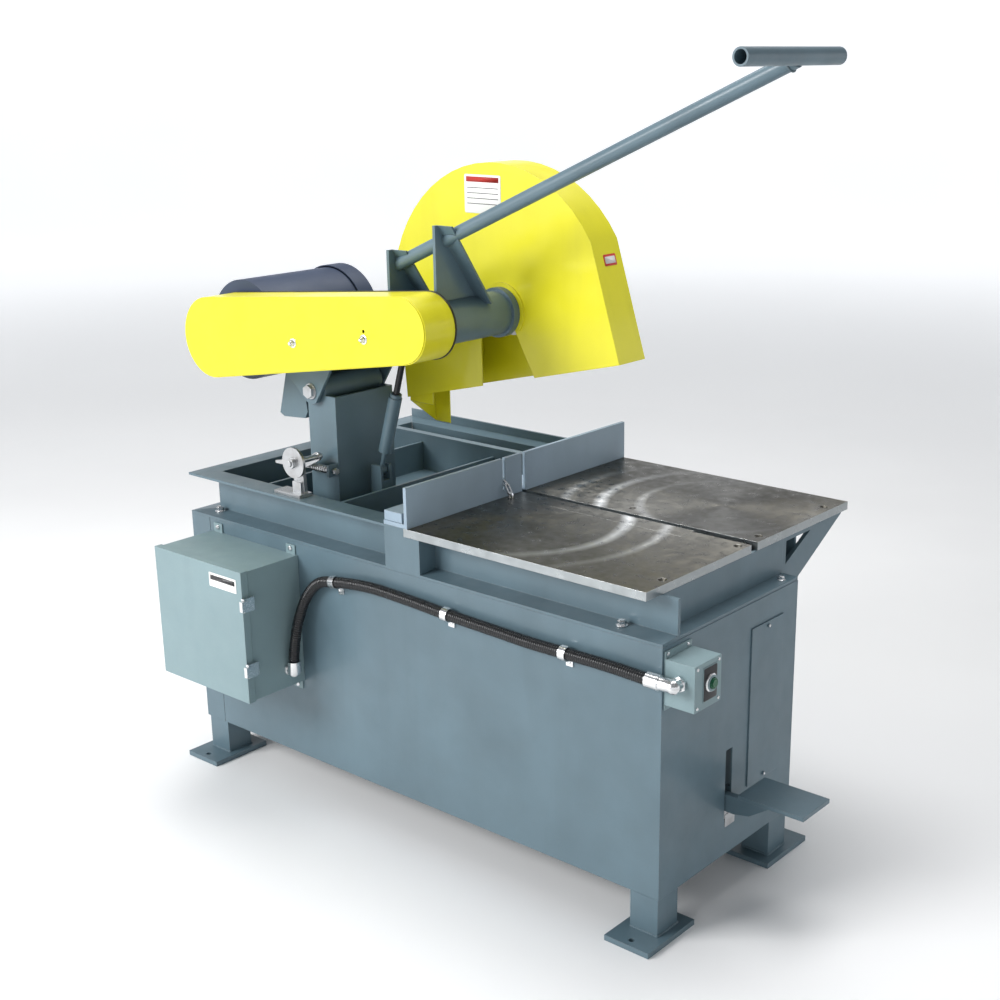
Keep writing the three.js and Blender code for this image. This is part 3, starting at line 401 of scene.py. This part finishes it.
def cap_nut(name, point, normal, across, body):
    """An acorn nut on a washer."""
    mesh = bmesh.new()
    place = facing(point, normal)
    r = across / 2
    lathe(mesh, [(r * 1.6, 0), (r * 1.6, 1.5), (r * 1.5, 1.9)], 24, place)
    lathe(mesh, [(r * 1.1, 1.7), (r * 1.15, 2.2), (r * 1.15, 7.0), (r * 0.95, 8.0)], 6, place, 0.2)
    dome = [(r * 0.85 * math.cos(a), 7.6 + r * 0.9 * math.sin(a)) for a in (0, 0.4, 0.8, 1.2, 1.45)]
    lathe(mesh, dome, 20, place)
    piece(name, mesh, STEEL["plated"], body)


def plate_outline(width, height, corner, steps=4):
    """The corners of a rounded rectangle about the origin, in millimetres."""
    points = []
    for quarter, (sx, sy) in enumerate(((1, 1), (-1, 1), (-1, -1), (1, -1))):
        centre = (sx * (width / 2 - corner), sy * (height / 2 - corner))
        for i in range(steps + 1):
            a = math.pi / 2 * (quarter + i / steps)
            points.append((centre[0] + corner * math.cos(a), centre[1] + corner * math.sin(a)))
    return points


def plate(name, point, right, up, size, thick, material, body, slot, corner=3.0):
    """A flat plate with rounded corners and a small chamfer, centred on a point of a surface."""
    mesh = bmesh.new()
    normal = right.cross(up)
    rings = []
    for inset, height in ((0, 0), (0, thick * 0.7), (min(0.6, thick * 0.5), thick)):
        outline = plate_outline(size[0] - 2 * inset, size[1] - 2 * inset, corner)
        corners = [right * a + up * b + normal * height for a, b in outline]
        rings.append([mesh.verts.new(point + corner * MM) for corner in corners])
    for low, high in zip(rings, rings[1:]):
        for i in range(len(low)):
            j = (i + 1) % len(low)
            mesh.faces.new((low[i], low[j], high[j], high[i]))
    mesh.faces.new(rings[0])
    mesh.faces.new(rings[-1])
    piece(name, mesh, material, body)


def tube_mesh(mesh, path, radius_at, sides=10):
    """A tube along a path of points; radius_at gives each ring's radius in millimetres."""
    rings = []
    side = Vector((0.31, 0.52, 0.79))
    for i, point in enumerate(path):
        heading = (path[min(i + 1, len(path) - 1)] - path[max(i - 1, 0)]).normalized()
        side = (side - heading * side.dot(heading)).normalized()
        lift = heading.cross(side)
        radius = radius_at(i) * MM
        angles = [2 * math.pi * k / sides for k in range(sides)]
        spokes = [side * math.cos(a) + lift * math.sin(a) for a in angles]
        rings.append([mesh.verts.new(point + spoke * radius) for spoke in spokes])
    for low, high in zip(rings, rings[1:]):
        for k in range(sides):
            m = (k + 1) % sides
            mesh.faces.new((low[k], low[m], high[m], high[k]))
    mesh.faces.new(rings[0])
    mesh.faces.new(rings[-1])


def weld(name, corners, radius, body):
    """A rippled weld bead along straight stretches between corners given in CAD millimetres."""
    points = [at(*corner) for corner in corners]
    path = []
    for start, end in zip(points, points[1:]):
        steps = max(2, round((end - start).length / (1.6 * MM)))
        path += [start.lerp(end, i / steps) for i in range(steps)]
    path.append(points[-1])

    def ripple(i):
        end_taper = min(1.0, (i + 1) / 3, (len(path) - i) / 3)
        return radius * end_taper * (0.86 + 0.14 * math.sin(i * 1.9) + 0.18 * noise.noise(path[i] * 140))

    mesh = bmesh.new()
    tube_mesh(mesh, path, ripple, 8)
    piece(name, mesh, PAINT["frame"], body)


def ring_path(centre, radius, first, second, steps=90):
    """CAD points round a circle spanned by two directions."""
    points = []
    for i in range(steps + 1):
        a = 2 * math.pi * i / steps
        spoke = [one * math.cos(a) + two * math.sin(a) for one, two in zip(first, second)]
        points.append([middle + radius * reach for middle, reach in zip(centre, spoke)])
    return points


# ---- conduit ----
CONDUIT_Y = -17.5
CONDUIT_CREST = 13.2
CONDUIT_ROOT = 11.9
CONDUIT_PITCH = 5.6
CONDUIT_ROUTE = [
    (-1062, -49, 386), (-1058, -46, 430), (-1051, -36, 490), (-1030, -23, 552), (-992, CONDUIT_Y, 592),
    (-935, CONDUIT_Y, 607), (-822, CONDUIT_Y, 620), (-691, CONDUIT_Y, 618), (-571, CONDUIT_Y, 612),
    (-433, CONDUIT_Y, 608), (-334, CONDUIT_Y, 605), (-235, CONDUIT_Y, 606), (-119, CONDUIT_Y, 607),
    (-24, CONDUIT_Y, 604)]


def catmull_rom(points, steps):
    """Points along the centripetal Catmull-Rom curve through the given ones."""
    ends = [2 * points[0] - points[1]] + points + [2 * points[-1] - points[-2]]
    path = []
    for a, b, c, d in zip(ends, ends[1:], ends[2:], ends[3:]):
        ab, bc, cd = [math.sqrt((q - p).length) for p, q in ((a, b), (b, c), (c, d))]
        out = ((b - a) / ab - (c - a) / (ab + bc) + (c - b) / bc) * bc
        into = ((c - b) / bc - (d - b) / (bc + cd) + (d - c) / cd) * bc
        for i in range(steps):
            t = i / steps
            path.append(b * (2 * t**3 - 3 * t**2 + 1) + out * (t**3 - 2 * t**2 + t)
                        + c * (3 * t**2 - 2 * t**3) + into * (t**3 - t**2))
    return path + [points[-1]]


def evenly(path, spacing):
    """The same path walked in equal steps."""
    walked = [path[0]]
    left = spacing
    for start, end in zip(path, path[1:]):
        length = (end - start).length
        done = 0.0
        while length - done >= left:
            done += left
            walked.append(start.lerp(end, done / length))
            left = spacing
        left -= length - done
    return walked


def ribbed_conduit():
    """The liquid-tight conduit with its ribs."""
    path = evenly(catmull_rom([at(*point) for point in CONDUIT_ROUTE], 24), CONDUIT_PITCH * MM / 4)
    profile = (CONDUIT_ROOT, CONDUIT_CREST - 0.2, CONDUIT_CREST, CONDUIT_CREST - 0.2)
    mesh = bmesh.new()
    tube_mesh(mesh, path, lambda i: profile[i % 4], 18)
    made = piece("conduit_ribbed", mesh, PLASTIC["jacket"], "base")
    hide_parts("conduit")


# ---- small parts, each where the machine has it ----
def frame_fittings():
    for i, (x, y) in enumerate([(-1416, 35), (-771, 40), (-125, 32), (-1416, 484)]):
        hex_bolt(f"frame_bolt_{i}", at(x, y, FLANGE_TOP - 1.5), Z, 17, "base", turn=0.4 * i)
    hex_bolt("frame_bolt_front", at(-19, 476, FLANGE_TOP - 3), Z, 13, "base")
    for i, x in enumerate((-1366, -820)):
        hex_bolt(f"rail_bolt_far_{i}", at(x, 776, FLANGE_TOP - 1.5), Z, 17, "base", turn=0.7 * i)
    for i, x in enumerate((-1381, -1105)):
        pan_screw(f"enclosure_tab_screw_{i}", at(x, -3.3, 653), -Y, 6.5, "base", slot_turn=0.5 + i)
        pan_screw(f"enclosure_low_screw_{i}", at(x, -3.3, 298), -Y, 6.5, "base", slot_turn=1.2 - i)
    for i, z in enumerate((601, 246)):
        pan_screw(f"cover_screw_{i}", at(6.8, 393, z), X, 3.4, "base", slot_turn=0.8 * i)
    for name, x, z in (("rear", -935, 607), ("middle", -571, 612), ("front", -235, 606)):
        pan_screw(f"clamp_screw_{name}", at(x, -3.3, z - 23), -Y, 5.0, "base", slot_turn=x)


def welds():
    grip_joint = (141, 163, 1345 + 0.432 * (141 + 854))
    weld("weld_grip", ring_path(grip_joint, 16.0, (0, 1, 0), (-0.396, 0, 0.918)), 2.6, "head")
    weld("weld_gusset_front", [(-55, 520, 606), (-55, 520, 757)], 3.4, "base")
    weld("weld_gusset_rear", [(-1295, 520, 564), (-1295, 520, 668)], 3.4, "base")
    for side, leg_y in (("near", LEG_CENTRE), ("far", BASE_WIDTH - LEG_CENTRE)):
        for end, leg_x in (("front", -LEG_CENTRE), ("rear", FRAME_BACK + LEG_CENTRE)):
            signs = ((-1, -1), (1, -1), (1, 1), (-1, 1), (-1, -1))
            corners = [(leg_x + LEG_HALF * a, leg_y + LEG_HALF * b, 13.4) for a, b in signs]
            weld(f"weld_foot_{side}_{end}", corners, 3.2, "base")
    for i, y in enumerate((134, 326)):
        weld(f"weld_pedestal_{i}", [(-1168, y, 715), (-1070, y, 715)], 3.4, "base")
    weld("weld_pedestal_front", [(-1069, 136, 715), (-1069, 324, 715)], 3.4, "base")


def head_fittings():
    for i, (x, z) in enumerate([(-1077, 1155), (-838, 1190)]):
        cap_nut(f"belt_guard_nut_{i}", at(x, 19, z), -Y, 14, "head")
    on_guard = ("head", "guard_paint")
    plate("guard_label_back", at(-777, 354, 1486), X, Z, (112, 88), 0.5, PAINT["white"], *on_guard, 4)
    bars = [(100, 12, 1519, "red")] + [(96, 1.6, z, "black") for z in (1500, 1488, 1476, 1464)]
    for i, (wide, tall, z, colour) in enumerate(bars):
        name = f"guard_label_line_{i}"
        plate(name, at(-777, 353.5, z), X, Z, (wide, tall), 0.2, PAINT[colour], *on_guard, 0.6)


def rim_label():
    """The small label near the top of the wheel guard's sloping front."""
    tilt = math.radians(17.1)
    out = Vector((math.cos(tilt), 0, math.sin(tilt)))
    up = Vector((-math.sin(tilt), 0, math.cos(tilt)))
    centre = at(-745, 407, 1225) + (out * 323.3 + up * 38) * MM
    plate("rim_label", centre, Y, up, (44, 26), 0.5, PAINT["red"], "head", "guard_paint", 3)
    raised = centre + out * 0.5 * MM
    plate("rim_label_face", raised, Y, up, (36, 16), 0.2, PAINT["white"], "head", "guard_paint", 2)


def box_fittings():
    on_door = ("door", "enclosure_paint")
    plate("nameplate", at(-1149, -178, 603), X, Z, (100, 35), 0.8, PAINT["white"], *on_door, 2)
    plate("nameplate_band", at(-1149, -178.8, 609), X, Z, (90, 12), 0.3, PAINT["black"], *on_door, 1)
    for i, (x, z) in enumerate([(-1194, 603), (-1104, 603)]):
        pan_screw(f"nameplate_rivet_{i}", at(x, -178.8, z), -Y, 2.0, "door")
    legend = at(76.5, 57.5, 599)
    plate("button_legend", legend, Y, Z, (46, 70), 0.8, PAINT["black"], "base", "enclosure_paint", 3)
    mesh = bmesh.new()
    place = facing(at(77.2, 57, 600), X)
    lathe(mesh, [(19.5, 0), (19.5, 3.0), (18.0, 4.6), (15.5, 5.4), (12.6, 5.4), (12.6, 0)], 36, place)
    piece("button_bezel", mesh, STEEL["plated"], "base")
    for i, (y, z) in enumerate([(14, 639), (89, 639), (14, 556), (89, 556)]):
        pan_screw(f"button_cover_screw_{i}", at(75, y, z), X, 3.6, "base", slot_turn=0.6 * i)
    for i, y in enumerate((14, 83)):
        pan_screw(f"button_tab_screw_{i}", at(4, y, 655), X, 4.2, "base", slot_turn=0.9 * i)
    plate("pedal_slot_tab", at(0, 264, 186), Y, Z, (38, 31), 2.0, STEEL["turned"], "base", "shaft_steel", 2)


# ---- camera, floor and light ----
def make_camera():
    camera = bpy.data.objects.new("camera", bpy.data.cameras.new("camera"))
    bpy.context.scene.collection.objects.link(camera)
    axes = Matrix((CAMERA_RIGHT, CAMERA_UP, CAMERA_RIGHT.cross(CAMERA_UP))).transposed()
    camera.matrix_world = Matrix.Translation(EYE) @ axes.to_4x4()
    camera.data.lens = LENS
    camera.data.sensor_width = 36
    camera.data.shift_x, camera.data.shift_y = SHIFT
    bpy.context.scene.camera = camera


def area_light(name, position, target, size, power):
    light = bpy.data.objects.new(name, bpy.data.lights.new(name, "AREA"))
    light.data.shape = "RECTANGLE"
    light.data.size, light.data.size_y = size
    light.data.energy = power
    light.location = position
    light.rotation_euler = (Vector(target) - Vector(position)).to_track_quat("-Z", "Y").to_euler()
    bpy.context.scene.collection.objects.link(light)


def make_floor():
    """A pale floor that curves up into a low wall all round, and glows more the further out it is."""
    flat, bend, wall = 12000, 2500, 2500
    curve = [math.pi / 2 * i / 12 for i in range(13)]
    sweep = [(flat + bend * math.sin(a), bend * (1 - math.cos(a))) for a in curve[1:]]
    profile = [(1, 0), (flat, 0)] + sweep
    mesh = bmesh.new()
    lathe(mesh, profile + [(flat + bend, bend + wall)], 96, Matrix.Identity(4))
    mesh.faces.ensure_lookup_table()
    bmesh.ops.delete(mesh, geom=[mesh.faces[-1]], context="FACES_ONLY")
    data = bpy.data.meshes.new("floor")
    mesh.to_mesh(data)
    mesh.free()
    data.shade_smooth()
    look = Look("floor_pale", 0.55)
    look.set(Base_Color=look.mix(look.span(look.noise(0.8, 3.0), 0.3, 0.7), grey(0.86), grey(0.90)))
    # Painted light: the floor glows from nothing at 3 m to full at 10 m out, so the far wall looks bright and
    # lights the machine a little.
    out = look.node("ShaderNodeVectorMath", {0: look.place}, operation="LENGTH").outputs["Value"]
    look.set(Emission_Color=(0.95, 0.97, 1.0, 1), Emission_Strength=look.span(out, 3.0, 10.0, 0.0, 0.50))
    data.materials.append(look.material)
    floor = bpy.data.objects.new("floor", data)
    bpy.context.scene.collection.objects.link(floor)


def light_the_scene():
    world = bpy.data.worlds.new("studio")
    bpy.context.scene.world = world
    world.use_nodes = True
    background = world.node_tree.nodes["Background"]
    background.inputs["Color"].default_value = (0.93, 0.96, 1.0, 1)
    background.inputs["Strength"].default_value = 0.30
    area_light("key", (-2.2, -4.4, 3.0), (0, 0, 0.7), (2.8, 2.0), 270)
    area_light("top", (-0.6, 0.8, 4.4), (0, 0, 0.8), (3.2, 2.4), 150)
    bpy.context.scene.view_settings.view_transform = "Standard"


dress_nodes()
ribbed_conduit()
frame_fittings()
welds()
head_fittings()
rim_label()
box_fittings()
make_camera()
make_floor()
light_the_scene()
